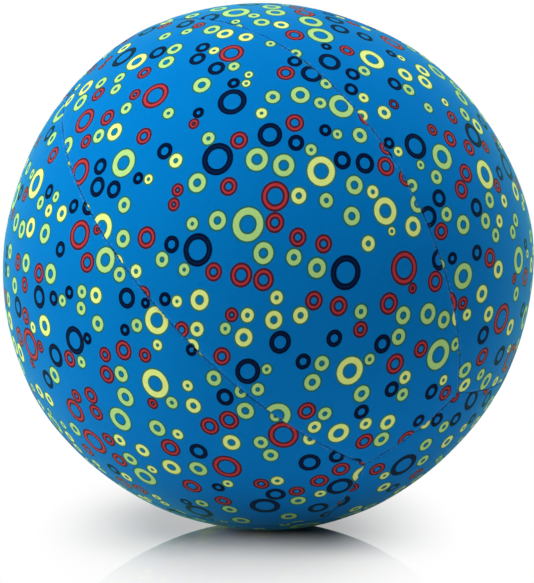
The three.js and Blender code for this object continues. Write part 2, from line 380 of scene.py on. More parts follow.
class Value:
    """A node's output. Arithmetic and comparisons on it add Math nodes."""

    def __init__(self, paint, socket):
        self.paint = paint
        self.socket = socket

    def __add__(self, other):
        return self.paint.math("ADD", self, other)

    def __radd__(self, other):
        return self.paint.math("ADD", other, self)

    def __sub__(self, other):
        return self.paint.math("SUBTRACT", self, other)

    def __rsub__(self, other):
        return self.paint.math("SUBTRACT", other, self)

    def __mul__(self, other):
        return self.paint.math("MULTIPLY", self, other)

    def __rmul__(self, other):
        return self.paint.math("MULTIPLY", other, self)

    def __gt__(self, other):
        return self.paint.math("GREATER_THAN", self, other)

    def __lt__(self, other):
        return self.paint.math("LESS_THAN", self, other)

    def least(self, other):
        return self.paint.math("MINIMUM", self, other)

    def most(self, other):
        return self.paint.math("MAXIMUM", self, other)

    def step(self, low, high):
        """0 below low, 1 above high, smooth in between."""
        settings = {"interpolation_type": "SMOOTHSTEP"}
        inputs = {"Value": self, "From Min": low, "From Max": high}
        return self.paint.node("ShaderNodeMapRange", settings, inputs)

    def parts(self):
        """Every output of the node that this output belongs to."""
        return [Value(self.paint, socket) for socket in self.socket.node.outputs]


class Paint:
    """The nodes of a material or a world, made one expression at a time."""

    def __init__(self, owner):
        owner.use_nodes = True
        self.owner = owner
        self.tree = owner.node_tree
        self.tree.nodes.clear()

    def node(self, kind, settings=None, inputs=None, output=0):
        """Adds a node: its settings first, then its inputs, by name or number."""
        made = self.tree.nodes.new(kind)
        for name, value in (settings or {}).items():
            if name == "stops":
                self.set_stops(made.color_ramp, value)
            else:
                setattr(made, name, value)
        for key, value in (inputs or {}).items():
            socket = made.inputs[key]
            if isinstance(value, Value):
                self.tree.links.new(value.socket, socket)
            elif socket.type == "RGBA":
                socket.default_value = (*value[:3], 1)
            else:
                socket.default_value = value
        return Value(self, made.outputs[output]) if len(made.outputs) else None

    @staticmethod
    def set_stops(ramp, stops):
        ramp.interpolation = "CONSTANT"
        while len(ramp.elements) < len(stops):
            ramp.elements.new(1)
        for element, (place, colour) in zip(ramp.elements, stops):
            element.position = place
            element.color = (*colour[:3], 1)

    def math(self, operation, *terms):
        return self.node("ShaderNodeMath", {"operation": operation}, dict(enumerate(terms)))

    def vector(self, operation, first, second, output=0):
        inputs = {0: first}
        if second is not None:
            inputs["Scale" if operation == "SCALE" else 1] = second
        return self.node("ShaderNodeVectorMath", {"operation": operation}, inputs, output)

    def mix(self, share, first, second, blend="MIX"):
        """Colour first, with share of second on it."""
        settings = {"data_type": "RGBA", "blend_type": blend}
        inputs = {"Factor": share, 6: first, 7: second}
        return self.node("ShaderNodeMix", settings, inputs, 2)

    def noise(self, place, scale, detail=2, output="Fac"):
        inputs = {"Vector": place, "Scale": scale, "Detail": detail}
        return self.node("ShaderNodeTexNoise", {"noise_dimensions": "3D"}, inputs, output)

    def bump(self, height, distance, under=None):
        inputs = {"Height": height, "Distance": distance, "Strength": 1.0}
        if under is not None:
            inputs["Normal"] = under
        return self.node("ShaderNodeBump", None, inputs)

    def surface(self, inputs):
        """Ends the material with its surface shader."""
        shader = self.node("ShaderNodeBsdfPrincipled", None, inputs)
        self.node("ShaderNodeOutputMaterial", None, {"Surface": shader})
        return self.owner


# The print: rings of four inks scattered on a blue ground, with its lengths in millimetres

MILLIMETRES = 1000.0
MID = 0.5  # the middle of a noise's values
STRAY = 0.35  # how far an ink's edge strays
INK_EDGE = 0.14  # softness of an ink's edge on the cloth
RIM_EDGE = INK_EDGE * 1.4  # softness between a ring's darker rim and the rest of it
GREEN_FROM = 0.22  # a ring's random number picks its ink: yellow below this
RED_FROM = 0.53
NAVY_FROM = 0.79
SMALLEST_RING = 2.9  # a ring that has less room than this is left out
CLOTH_STRETCH = 1.13  # the cloth gives more one way, so the rings are a little oval
STRETCH_TURN = math.radians(-48)

# What depends on a ring's ink: for yellow and green rings, then what red and navy ones add
HOLE_FROM, HOLE_FROM_RED, HOLE_FROM_NAVY = 3.75, -0.75, -1.85
HOLE_SHARE, HOLE_SHARE_RED, HOLE_SHARE_NAVY = 0.72, 0.13, 0.08
RIM_WIDTH, RIM_WIDTH_RED = 0.95, 0.2
RIM_INK, RIM_INK_RED = 0.1, 0.32
RIM_TINT = (0.3, 0.75, 0.85)
PINHOLE = 0.12  # the hole of the smallest rings

# The cloth's own marks, with painted shade and a partly painted highlight beside its seams: how they
# vary over it, and how strongly each one shows
YARN_ACROSS, YARN_ALONG = 2.4, 0.22  # how fast a yarn's thickness changes
MOTTLE, DEEP_SHARE = 0.5, 0.12  # of the deeper dye in the ground: how much it varies, and its mean
SLUB_SHADE, GRAIN_SHADE = 0.2, 0.16
# Painted shade: darker cloth in a seam's crease, and darker still at each stitch that pulls the cloth in
CREASE_SHADE, STITCH_SHADE = 0.06, 0.36
CREASE_LEAST, CREASE_RANGE = 0.1, 1.9  # how strong the painted shade in the crease is as it breaks off along a seam
# The pale band beside a seam: partly wear, partly a painted highlight on the seam's fold
WEAR_AND_HIGHLIGHT_SHARE, REVERSE_SHARE = 0.24, 0.62

# How far from a seam its dip, its painted shade and its pale band start, are strongest and end
DIP_END = 1.6
CREASE_FULL, CREASE_END = 0.15, 0.8
PALE_START, PALE_FULL, PALE_END = 0.5, 0.9, 1.9


class RingLayer:
    """One scatter of rings, at most one in each cell of a grid of a given pitch."""

    def __init__(self, paint, pitch, randomness, shift, smallest, largest, kept):
        self.paint = paint
        self.pitch = pitch
        self.randomness = randomness
        self.shift = shift
        self.smallest = smallest
        self.largest = largest
        self.kept = kept

    def cells(self, place, feature, output):
        """What a Voronoi texture with one ring in each cell says at a place."""
        shifted = self.paint.vector("ADD", place, self.shift)
        scaled = self.paint.vector("SCALE", shifted, 1 / self.pitch)
        settings = {"voronoi_dimensions": "2D", "feature": feature}
        inputs = {"Vector": scaled, "Scale": 1.0, "Randomness": self.randomness}
        return self.paint.node("ShaderNodeTexVoronoi", settings, inputs, output)

    def read(self, place):
        """Distance from the nearest ring's middle, its radius and its three random numbers."""
        distance = self.cells(place, "F1", "Distance") * self.pitch
        draws = {"Color": self.cells(place, "F1", "Color")}
        chance = self.paint.node("ShaderNodeSeparateColor", None, draws).parts()
        room = self.cells(place, "N_SPHERE_RADIUS", "Radius") * self.pitch
        often_large = self.paint.math("POWER", chance[1], 0.6)
        wanted = self.smallest + (self.largest - self.smallest) * often_large
        radius = wanted.least(room) * (chance[2] < self.kept)
        return distance, radius, chance

    def middles(self, place):
        """The middle of the nearest ring, as a place on the cloth."""
        middle = self.paint.vector("SCALE", self.cells(place, "F1", "Position"), self.pitch)
        return self.paint.vector("SUBTRACT", middle, self.shift)


def ink_on(paint, ground, distance, radius, chance):
    """Adds one layer's rings to the ground's colour, each with a darker rim."""
    colours = bpy.context.scene.ball_colours
    stops = (
        (0.0, colours.yellow),
        (GREEN_FROM, colours.green),
        (RED_FROM, colours.red),
        (NAVY_FROM, colours.navy),
    )
    pick = chance[0]
    ink = paint.node("ShaderNodeValToRGB", {"stops": stops}, {"Fac": pick})
    is_red = (pick > RED_FROM) * (pick < NAVY_FROM)
    is_navy = pick > NAVY_FROM
    hole_from = HOLE_FROM + is_red * HOLE_FROM_RED + is_navy * HOLE_FROM_NAVY
    hole_share = HOLE_SHARE + is_red * HOLE_SHARE_RED + is_navy * HOLE_SHARE_NAVY
    hole = ((radius - hole_from) * hole_share).most(PINHOLE)
    depth = (radius - distance).least(distance - hole)
    inked = depth.step(-INK_EDGE, INK_EDGE) * (radius > 0)
    past_rim = depth - (RIM_WIDTH + is_red * RIM_WIDTH_RED)
    clear_ink = past_rim.step(-RIM_EDGE, RIM_EDGE) * inked
    over = paint.mix(1.0, ground, ink, "MULTIPLY")
    rim = paint.mix(RIM_INK + is_red * RIM_INK_RED, over, ink)
    rim = paint.mix(1.0, rim, RIM_TINT, "MULTIPLY")
    return paint.mix(clear_ink, paint.mix(inked, ground, rim), ink)


def printed_rings(paint, place):
    """The print's colour: rings of two sizes on a ground that took the dye unevenly."""
    colours = bpy.context.scene.ball_colours
    stray = paint.noise(place, scale=1.3, output="Color")
    stray = paint.vector("SCALE", paint.vector("SUBTRACT", stray, (MID, MID, MID)), STRAY)
    slack = paint.node(
        "ShaderNodeMapping",
        {"vector_type": "TEXTURE"},
        {"Vector": place, "Rotation": (0, 0, STRETCH_TURN), "Scale": (1, CLOTH_STRETCH, 1)},
    )
    printed = paint.vector("ADD", slack, stray)
    large = RingLayer(
        paint, pitch=41.0, randomness=0.8, shift=(11.0, 5.0, 0.0), smallest=6.6, largest=8.9, kept=0.86
    )
    small = RingLayer(
        paint, pitch=13.9, randomness=0.66, shift=(3.0, 7.0, 0.0), smallest=3.3, largest=6.9, kept=0.97
    )
    large_rings = large.read(printed)
    distance, radius, chance = small.read(printed)
    gap, neighbour, _ = large.read(small.middles(printed))
    radius = radius.least(gap - neighbour)
    radius = radius * (radius > SMALLEST_RING)
    mottle = (paint.noise(place, scale=0.035, detail=3) - MID) * MOTTLE
    ground = paint.mix(mottle + DEEP_SHARE, colours.ground, colours.ground_deep)
    colour = ink_on(paint, ground, distance, radius, chance)
    return ink_on(paint, colour, *large_rings)


def yarns(paint, place):
    """Ups and downs of the weave, and how thick its yarns are beside the usual."""
    pitch = bpy.context.scene.ball_cover.weave_pitch * MILLIMETRES
    across, along, _ = paint.node("ShaderNodeSeparateXYZ", None, {"Vector": place}).parts()
    warp = paint.math("SINE", across * (math.pi / pitch))
    weft = paint.math("SINE", along * (math.pi / pitch))
    warp_place = paint.vector("MULTIPLY", place, (YARN_ACROSS, YARN_ALONG, 1.0))
    weft_place = paint.vector("MULTIPLY", place, (YARN_ALONG, YARN_ACROSS, 1.0))
    slub = paint.noise(warp_place, scale=1.0) + paint.noise(weft_place, scale=1.0) - 2 * MID
    return warp * weft, slub


def seam_marks(paint, place):
    """Marks beside a seam: the dips at its stitches, painted shade along its broken crease, and a pale
    band of wear and painted highlight.
    """
    stitch = bpy.context.scene.ball_cover.stitch_length * MILLIMETRES
    seam = paint.node("ShaderNodeUVMap", {"uv_map": "seam"})
    axes = paint.node("ShaderNodeSeparateXYZ", None, {"Vector": seam}).parts()
    along, across = (axis * MILLIMETRES for axis in axes[:2])
    pull = paint.math("COSINE", along * (2 * math.pi / stitch)) * 0.5 + 0.5
    dip = (1 - across.step(0.0, DIP_END)) * pull
    patches = paint.noise(place, scale=0.07, detail=1).step(0.47, 0.6)
    # Painted shade in the crease, stronger where each stitch pulls and broken into patches along the
    # seam
    strength = (CREASE_LEAST + patches * CREASE_RANGE) * (CREASE_SHADE + pull * STITCH_SHADE)
    painted_seam_shade = (1 - across.step(CREASE_FULL, CREASE_END)) * strength
    # Pale band: wear, and a painted highlight along the seam's fold
    pale_band = across.step(PALE_START, PALE_FULL) * (1 - across.step(PALE_FULL, PALE_END))
    wear_and_highlight = pale_band * paint.noise(place, scale=0.5, detail=3).step(0.45, 0.75)
    return dip, painted_seam_shade, wear_and_highlight


def printed_cotton(paint, reverse=False):
    """Woven cotton with the ring print; the reverse shows it faintly."""
    colours = bpy.context.scene.ball_colours
    cover = bpy.context.scene.ball_cover
    uv = paint.node("ShaderNodeUVMap", {"uv_map": "cloth"})
    place = paint.vector("SCALE", uv, MILLIMETRES)
    weave, slub = yarns(paint, place)
    dip, painted_seam_shade, wear_and_highlight = seam_marks(paint, place)
    grain = paint.noise(place, scale=1.1) - MID
    # The painted seam shade darkens the cloth's colour here
    shade = 1 + slub * SLUB_SHADE + grain * GRAIN_SHADE - painted_seam_shade
    tone = paint.node("ShaderNodeCombineColor", None, {0: shade, 1: shade, 2: shade})
    colour = paint.mix(1.0, printed_rings(paint, place), tone, "MULTIPLY")
    # Wear and painted highlight beside the seams
    colour = paint.mix(wear_and_highlight * WEAR_AND_HIGHLIGHT_SHARE, colour, colours.wear_and_highlight)
    if reverse:
        colour = paint.mix(REVERSE_SHARE, colour, colours.reverse)
    fine = paint.bump(weave * 0.5 + slub * 0.4, cover.weave_depth)
    return paint.surface(
        {
            "Base Color": colour,
            "Roughness": 0.82 - wear_and_highlight * 0.1 + slub * 0.1,
            "Specular IOR Level": 0.05,
            "Sheen Weight": 0.34,
            "Sheen Roughness": 0.3,
            "Sheen Tint": (0.3, 1.0, 0.6),
            "Normal": paint.bump(dip * -1.0, cover.stitch_pull, fine),
        }
    )


def sewing_thread(paint):
    """Twisted polyester thread, a little darker than the ground."""
    colours = bpy.context.scene.ball_colours
    place = paint.node("ShaderNodeTexCoord", None, None, "Object")
    twist = paint.node(
        "ShaderNodeTexWave",
        {"wave_type": "BANDS", "bands_direction": "DIAGONAL"},
        {"Vector": place, "Scale": 900.0, "Distortion": 1.5},
        "Fac",
    )
    return paint.surface(
        {
            # Lighter bands: a painted highlight on the crests of the twist
            "Base Color": paint.mix(twist * 0.5, colours.thread, colours.thread_twist_highlight),
            "Roughness": 0.55 + twist * 0.15,
            "Normal": paint.bump(twist, distance=0.00005),
        }
    )


def latex_rubber(paint):
    """Stretched latex: smooth and satin, cloudy where it is thick, with fine powder on it."""
    colours = bpy.context.scene.ball_colours
    place = paint.node("ShaderNodeTexCoord", None, None, "Object")
    cloud = paint.noise(place, scale=60.0, detail=4)
    powder = paint.noise(place, scale=900.0, detail=3).step(0.56, 0.72)
    colour = paint.mix(cloud, colours.latex, colours.latex_thick)
    return paint.surface(
        {
            "Base Color": paint.mix(powder * 0.18, colour, colours.powder),
            "Roughness": 0.34 + powder * 0.3 + cloud * 0.08,
            "Subsurface Weight": 0.15,
            "Subsurface Radius": (0.001, 0.0015, 0.002),
            "Specular IOR Level": 0.5,
            "Normal": paint.bump(paint.noise(place, scale=320.0), distance=0.0001),
        }
    )


def material(name, make):
    """The material of that name, made the first time it is asked for."""
    return bpy.data.materials.get(name) or make(Paint(bpy.data.materials.new(name)))


def cotton():
    """Face and reverse of the cloth."""
    face = material("cotton_face", printed_cotton)
    reverse = material("cotton_reverse", lambda paint: printed_cotton(paint, reverse=True))
    return [face, reverse]


# Panels of the cover


def cut_from(number):
    """Where on the printed cloth a panel was cut, so that the print differs at each seam."""
    draw = np.random.default_rng(SEED + 100 * number)
    return draw.uniform(0.5, 2.5, size=2)


def flat_of_cap(directions):
    """Flat places of a cap's cloth: distance and azimuth from its middle."""
    _, ring = around(directions)
    polar = np.arctan2(ring, np.abs(directions[..., 2]))
    stretch = BALL_RADIUS * polar / np.maximum(ring, TINY)
    return directions[..., :2] * stretch[..., None]


def flat_of_gore(directions, sector):
    """Flat places of a gore's cloth, true to shape on both sides of its middle line."""
    azimuth, ring = around(directions, sector)
    across = np.arctanh(ring * np.sin(azimuth))
    along = np.arctan2(directions[..., 2], ring * np.cos(azimuth))
    return np.stack((across, along), axis=-1) * BALL_RADIUS


def cloth_panel(
    name, node, directions, points, flat, on_cap=True, closed=False, from_hem=None, seam=None
):
    """A panel of printed cotton; seam, where given, says how its points lie to the nearest seam."""
    faces = grid_faces(*directions.shape[:2], closed)
    if seam is None:
        seam = seam_coordinates(directions.reshape(-1, 3)[faces], on_cap)
    else:
        seam = seam.reshape(-1, 2)[faces]
    uv = {"cloth": flat.reshape(-1, 2)[faces], "seam": seam}
    piece = new_piece(name, points, faces, cotton(), uv, MIDDLE)
    give_thickness(piece, from_hem)
    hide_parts(node)
    return piece


def side_polar(azimuth):
    """Angle from the pole to a cap's side, at an azimuth from the side's middle."""
    return np.arctan(math.tan(SIDE_POLAR) / np.cos(azimuth))


def make_gore(number):
    """One gore, from the front cap's side to the rear cap's."""
    sector = (number - 0.5) * GORE_ANGLE
    widest = GORE_ANGLE * BALL_RADIUS
    longest = (math.pi - 2 * SIDE_POLAR) * BALL_RADIUS
    across = (edge_fine(widest, ACROSS_STEP)[None, :] - 0.5) * GORE_ANGLE * NEARLY
    along = edge_fine(longest, CLOTH_STEP)[:, None]
    reach = (math.pi / 2 - side_polar(across)) * NEARLY
    polar = math.pi / 2 + (1 - 2 * along) * reach
    directions = unit(sector + across, polar)
    away, _ = from_seam(directions, sector)
    into, _ = from_side(directions, sector)
    points = cloth_outside(directions, np.minimum(away, -into))
    flat = flat_of_gore(directions, sector) + cut_from(number)
    name = f"gore_cloth_{number}"
    gore = cloth_panel(name, f"gore_panel_{number}", directions, points, flat, on_cap=False)
    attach(gore, "cover")


def make_front_cap():
    """The closed six-sided cap."""
    azimuth = circle(150)[None, :]
    folded = np.mod(azimuth, GORE_ANGLE) - HALF_GORE
    share = end_fine(SIDE_POLAR * BALL_RADIUS, CLOTH_STEP)[:, None]
    polar = math.pi - share * side_polar(folded) * NEARLY
    directions = unit(azimuth, polar)
    into, _ = from_side(directions, sector_of(directions))
    points = cloth_outside(directions, into)
    flat = flat_of_cap(directions) + cut_from(GORES + 1)
    cap = cloth_panel("front_cap_cloth", "front_end_cap", directions, points, flat, closed=True)
    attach(cap, "cover")


# Rear cap: an over half, which carries the flap, and an under half, which runs on below it

LAP_TOP = 2 * CLOTH + CLEARANCE
LAP_FLOOR = LAP_TOP + CLOTH
CORNER_CUT = 0.13  # radians of the flap's round edge that are cut off square at its root
SIDE_POINTS = 60
END_POINTS = 20

# About how deep the parts of its cloth are, which sets how many rows of points they get
OVER_DEPTH = 0.045
UNDER_DEPTH = 0.022
LAP_DEPTH = 0.012

# The flap's hem and where it would bend
STITCH_IN = 0.0008  # from a hem's inner edge to its stitches
HEM_DIP = 0.00018
HEM_DIP_WIDTH = 0.0006
PAST_SEAM = 0.002  # the flap's edge counts as this far from a seam, so it has none of its marks
BEND_ABOVE = 0.001  # from the fold line to where a bend would start
BEND_BELOW = 0.005  # and to where it would have bent all the way


def on_side(corner, share):
    """Points of the flat view along a cap's side, from one corner to the next."""
    ends = [
        np.array((math.cos(number * GORE_ANGLE), math.sin(number * GORE_ANGLE)))
        * math.tan(CORNER_POLAR)
        for number in (corner, corner + 1)
    ]
    chord = ends[0] + np.asarray(share)[..., None] * (ends[1] - ends[0])
    return chord * (BALL_RADIUS / np.sqrt(1 + (chord**2).sum(axis=-1, keepdims=True)))


def fold_end():
    """Share of the side between corners 0 and 1 at which it meets the fold line."""
    shares = np.linspace(0, 1, 2001)
    return float(np.interp(HINGE_OFFSET, on_side(0, shares)[:, 1], shares))


def picked(points, run, places):
    """Points of a line at these places of its run."""
    return np.stack([np.interp(places, run, points[:, axis]) for axis in (0, 1)], axis=-1)


def spaced(points, count):
    """The same line through count evenly spaced points."""
    steps = np.linalg.norm(np.diff(points, axis=0), axis=1)
    run = np.concatenate(([0], np.cumsum(steps)))
    return picked(points, run, np.linspace(0, run[-1], count))


def moon(width, length, shares):
    """Points of a half-moon's edge in the flat view, from right to left below the fold line."""
    angle = math.pi * np.asarray(shares)
    x = width / 2 * np.cos(angle)
    return np.stack((x, HINGE_OFFSET - length * np.sin(angle)), axis=-1)


def moon_distance(place, width, length):
    """About how far outside a half-moon's edge a place of the flat view lies."""
    x = place[..., 0] / (width / 2)
    y = np.minimum(place[..., 1] - HINGE_OFFSET, 0) / length
    reach = np.hypot(x, y)
    slope = np.hypot(x / (width / 2), y / length) / np.maximum(reach, TINY)
    return (reach - 1) / np.maximum(slope, TINY)


def flat_view(row_place):
    """A place of the row frame in the flat view down on the upper pole."""
    return ((np.array(row_place) - MIDDLE) @ TURNED)[:2]


def make_over_half():
    """The upper half of the rear cap, hemmed along the fold line."""
    meet = fold_end()
    across = np.linspace(0, 1, 91)
    fold_x = on_side(0, meet)[0] * (1 - 2 * across)
    fold_line = np.stack((fold_x, np.full(len(across), HINGE_OFFSET)), axis=-1)
    top = on_side(1, across)
    run = np.linspace(0, 1, SIDE_POINTS)
    share = edge_fine(OVER_DEPTH, HALF_STEP)
    right = picked(on_side(0, np.linspace(meet, 1, SIDE_POINTS)), run, share)
    left = picked(on_side(2, np.linspace(0, 1 - meet, SIDE_POINTS))[::-1], run, share)
    u, v = across[None, :, None], share[:, None, None]
    ruled = (1 - v) * fold_line[None] + v * top[None] + (1 - u) * right[:, None] + u * left[:, None]
    corners = (
        (1 - u) * (1 - v) * fold_line[0]
        + u * (1 - v) * fold_line[-1]
        + (1 - u) * v * top[0]
        + u * v * top[-1]
    )
    place = (ruled - corners) * NEARLY
    place[..., 1] += HINGE_OFFSET * (1 - NEARLY)
    directions = over_cap(place[..., 0], place[..., 1])
    into, _ = from_side(directions, sector_of(directions))
    points = cloth_outside(directions, np.minimum(into, place[..., 1] - HINGE_OFFSET))
    flat = flat_of_cap(directions) + cut_from(GORES + 2)

    def from_hem(spot):
        return spot[1] - HINGE_OFFSET

    node = "rear_cap_over_half"
    half = cloth_panel("over_half_cloth", node, directions, points, flat, from_hem=from_hem)
    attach(half, "cover")


def under_flap(place):
    """How far the under half steps down where the flap lies on it."""
    outside = moon_distance(place, FLAP_WIDTH + 2 * CLEARANCE, FLAP_LENGTH + CLEARANCE)
    return LAP_TOP * smooth(np.clip(1 - outside / (LAP_JOIN / 2), 0, 1))


def make_under_half():
    """The lower half of the rear cap, round the mouth, with the mouth's edge hemmed."""
    meet = fold_end()
    shares = np.linspace(0, 1, 181)
    mouth = moon(MOUTH_WIDTH, MOUTH_LENGTH, shares)
    edge = moon(FLAP_WIDTH + 2 * CLEARANCE, FLAP_LENGTH + CLEARANCE, shares)
    sides = [on_side(0, np.linspace(meet, 0, END_POINTS))]
    sides += [on_side(-number, np.linspace(1, 0, SIDE_POINTS)) for number in range(1, 4)]
    sides += [on_side(2, np.linspace(1, 1 - meet, END_POINTS))]
    outer = spaced(np.concatenate(sides), len(shares))
    lap = end_fine(LAP_DEPTH, LAP_STEP)[:, None, None]
    rest = edge_fine(UNDER_DEPTH, HALF_STEP)[1:, None, None]
    place = np.concatenate(
        (mouth[None] + lap * (edge - mouth)[None], edge[None] + rest * (outer - edge)[None])
    )
    place = place * NEARLY
    place[..., 1] -= HINGE_OFFSET * (1 - NEARLY)
    directions = over_cap(place[..., 0], place[..., 1])
    into, _ = from_side(directions, sector_of(directions))
    beside_flap = np.abs(place[..., 0]) > FLAP_WIDTH / 2
    to_fold = np.where(beside_flap, HINGE_OFFSET - place[..., 1], BALL_RADIUS)
    points = cloth_outside(directions, np.minimum(into, to_fold), under_flap(place))
    flat = flat_of_cap(directions) + cut_from(GORES + 3)

    def from_hem(spot):
        return moon_distance(spot, MOUTH_WIDTH, MOUTH_LENGTH)

    node = "rear_cap_under_half"
    half = cloth_panel("under_half_cloth", node, directions, points, flat, from_hem=from_hem)
    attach(half, "cover")


def blend_flap(piece):
    """Bakes the placement of a piece of the flap into its mesh; the bend's start and end are worked out
    but not used.
    """
    start = over_cap(0.0, HINGE_OFFSET + BEND_ABOVE) * BALL_RADIUS
    end = over_cap(0.0, HINGE_OFFSET - BEND_BELOW) * BALL_RADIUS
    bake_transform(piece)


def make_flap():
    """The half-moon flap, hemmed round its edge."""
    x = FLAP_WIDTH / 2 * np.cos(np.linspace(CORNER_CUT, math.pi - CORNER_CUT, 97))
    drop = FLAP_LENGTH * np.sqrt(np.maximum(1 - (2 * x / FLAP_WIDTH) ** 2, 0))
    share = edge_fine(FLAP_LENGTH, FLAP_STEP)[:, None]
    y = HINGE_OFFSET * NEARLY - share * drop[None, :]
    x = np.broadcast_to(x[None, :], y.shape)
    directions = over_cap(x, y)
    inside = -moon_distance(np.stack((x, y), axis=-1), FLAP_WIDTH, FLAP_LENGTH)
    rounded = CLOTH / 2 * np.exp(-((inside / CLOTH) ** 2))
    hem_line = HEM_DIP * np.exp(-(((inside - HEM + STITCH_IN) / HEM_DIP_WIDTH) ** 2))
    points = cloth_outside(directions, HINGE_OFFSET - y, rounded + hem_line)
    flat = flat_of_cap(directions) + cut_from(GORES + 4)
    seam = np.stack((np.arctan2(y, x) * FLAP_WIDTH / 2, inside + PAST_SEAM), axis=-1)

    def from_hem(spot):
        return -moon_distance(spot, FLAP_WIDTH, FLAP_LENGTH)

    node = "closing_flap"
    flap = cloth_panel("flap_cloth", node, directions, points, flat, from_hem=from_hem, seam=seam)
    blend_flap(flap)


# Thread

STITCH_SLANT = 0.15  # of a stitch across a long seam
DASH_PARTS = 8  # from the start of one stitch of a hem to the next
DASH_LENGTH = 6  # parts that the stitch itself takes
ROOT_SPAN = 0.96  # of the flap's width, which the stitches at its root take up
ROOT_RISE = 0.0018  # from the fold line up to them
HEM_SUNK = 0.00015


def seam_line(directions, cross):
    """Starts, ends and outward directions of stitches that cross a seam."""
    cover = bpy.context.scene.ball_cover
    radius = (outer_radius(directions) - cover.seam_depth - cover.drawn_in)[:, None]
    middle = directions * radius
    half = cross * cover.stitch_cross / 2
    return to_row(middle - half), to_row(middle + half), directions @ TURNED.T


def dash_line(place, sunk):
    """Starts, ends and outward directions of stitches that run along a line of the flat view."""
    cover = bpy.context.scene.ball_cover
    length = np.linalg.norm(np.diff(place, axis=0), axis=1).sum()
    count = round(length / cover.stitch_length)
    even = spaced(place, DASH_PARTS * count + 1)
    starts, ends = even[0:-1:DASH_PARTS], even[DASH_LENGTH::DASH_PARTS]
    middles = even[DASH_LENGTH // 2 :: DASH_PARTS]
    lifted = []
    for spot in (starts, ends):
        directions = over_cap(spot[:, 0], spot[:, 1])
        lifted.append(to_row(directions * (outer_radius(directions) - sunk)[:, None]))
    return lifted[0], lifted[1], over_cap(middles[:, 0], middles[:, 1]) @ TURNED.T


def long_seams():
    """Stitches along the seams between the gores."""
    cover = bpy.context.scene.ball_cover
    span = (math.pi - 2 * CORNER_POLAR) * BALL_RADIUS
    count = round(span / cover.stitch_length)
    polar = CORNER_POLAR + (np.arange(count) + 0.5) / count * (math.pi - 2 * CORNER_POLAR)
    runs = []
    for number in range(GORES):
        azimuth = number * GORE_ANGLE
        cross = np.array((-math.sin(azimuth), math.cos(azimuth), STITCH_SLANT))
        runs.append(seam_line(unit(azimuth, polar), cross))
    return runs


def cap_seams():
    """Stitches along the sides of both caps."""
    cover = bpy.context.scene.ball_cover
    count = round(CAP_CORNER / cover.stitch_length)
    shares = (np.arange(count) + 0.5) / count
    runs = []
    for pole in (1, -1):
        for number in range(GORES):
            place = on_side(number, shares)
            directions = over_cap(place[:, 0], place[:, 1])
            middle = (number + 0.5) * GORE_ANGLE
            inward = np.array((math.cos(middle), math.sin(middle), 0))
            directions[:, 2] *= pole
            runs.append(seam_line(directions, inward))
    return runs


def sew(name, runs, proud, body=None):
    """One piece of thread from several runs of stitches, on a body where one is given."""
    starts, ends, ups = (np.concatenate([run[i] for run in runs]) for i in range(3))
    piece = stitches(name, starts, ends, ups, proud)
    if body:
        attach(piece, body)
    return piece


# Balloon


def height_at(y):
    """Height of the outside of the cloth over the point (0, y) of the flat view."""
    direction = np.array((0.0, y, BALL_RADIUS)) / math.hypot(y, BALL_RADIUS)
    return math.sqrt(outer_radius(direction) ** 2 - y * y)


def ceiling_at(y):
    """Underside of the cloth that the knot and the loose end are tucked under."""
    return height_at(y) - LAP_FLOOR - BALL_RADIUS * (1 - math.cos(FACET))


BALLOON_INSET = LAP_TOP
KNOT_MIDDLE = ceiling_at(0) - TUCK_ROOM - KNOT_SCALE - KNOT_STRAND
NECK_TIP = KNOT_MIDDLE - KNOT_LEAD - CLEARANCE
KNOT_END = 2 * (KNOT_SCALE + KNOT_STRAND)
LIP_SIZE = LIP_RADIUS + LIP_BEAD
LIP_REACH = math.hypot(TAIL_LENGTH, LIP_SIZE) + KNOT_END
LIP_FLOOR = ceiling_at(LIP_REACH) - 2 * (LIP_SIZE + TUCK_ROOM)
POCKET_FLOOR = min(NECK_TIP - NECK_HEIGHT, LIP_FLOOR)
LAP_REACH = max(
    math.hypot(FLAP_WIDTH / 2 + CLEARANCE + LAP_JOIN, HINGE_OFFSET),
    FLAP_LENGTH - HINGE_OFFSET + CLEARANCE + LAP_JOIN,
)
POCKET_RADIUS = max(LIP_REACH + TUCK_ROOM, LAP_REACH - POCKET_SLOPE / 2)
TAIL_DROP = math.asin(min(1, (KNOT_MIDDLE - POCKET_FLOOR - LIP_SIZE - TUCK_ROOM) / TAIL_LENGTH))
TAILWARDS = np.array((0, -math.cos(TAIL_DROP), -math.sin(TAIL_DROP)))
TAIL_PIVOT = np.array((0, -KNOT_END, KNOT_MIDDLE))

# The rubber's own folds and room
NECK_WAIST = 0.55  # share of the neck's radius that its closed tip has
NECK_FOOT = NECK_ROOT * 1.5
FLUTES = 9
FLUTE_DEPTH = 0.07
FLUTE_FADE = 5
GATHERS = 13
GATHER_DEPTH = 0.00022
GATHER_FADE = 6
SKIN_ROOM = 0.0002
KNOT_BUMPS = 0.06
LIMP_FOLDS = 3
LIMP_DEPTH = 0.09


def rubber_piece(name, points, faces, node, body):
    """A piece of latex from points of the ball's own frame."""
    rubber = material("latex_rubber", latex_rubber)
    piece = new_piece(name, to_row(points), faces, [rubber])
    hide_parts(node)
    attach(piece, body)


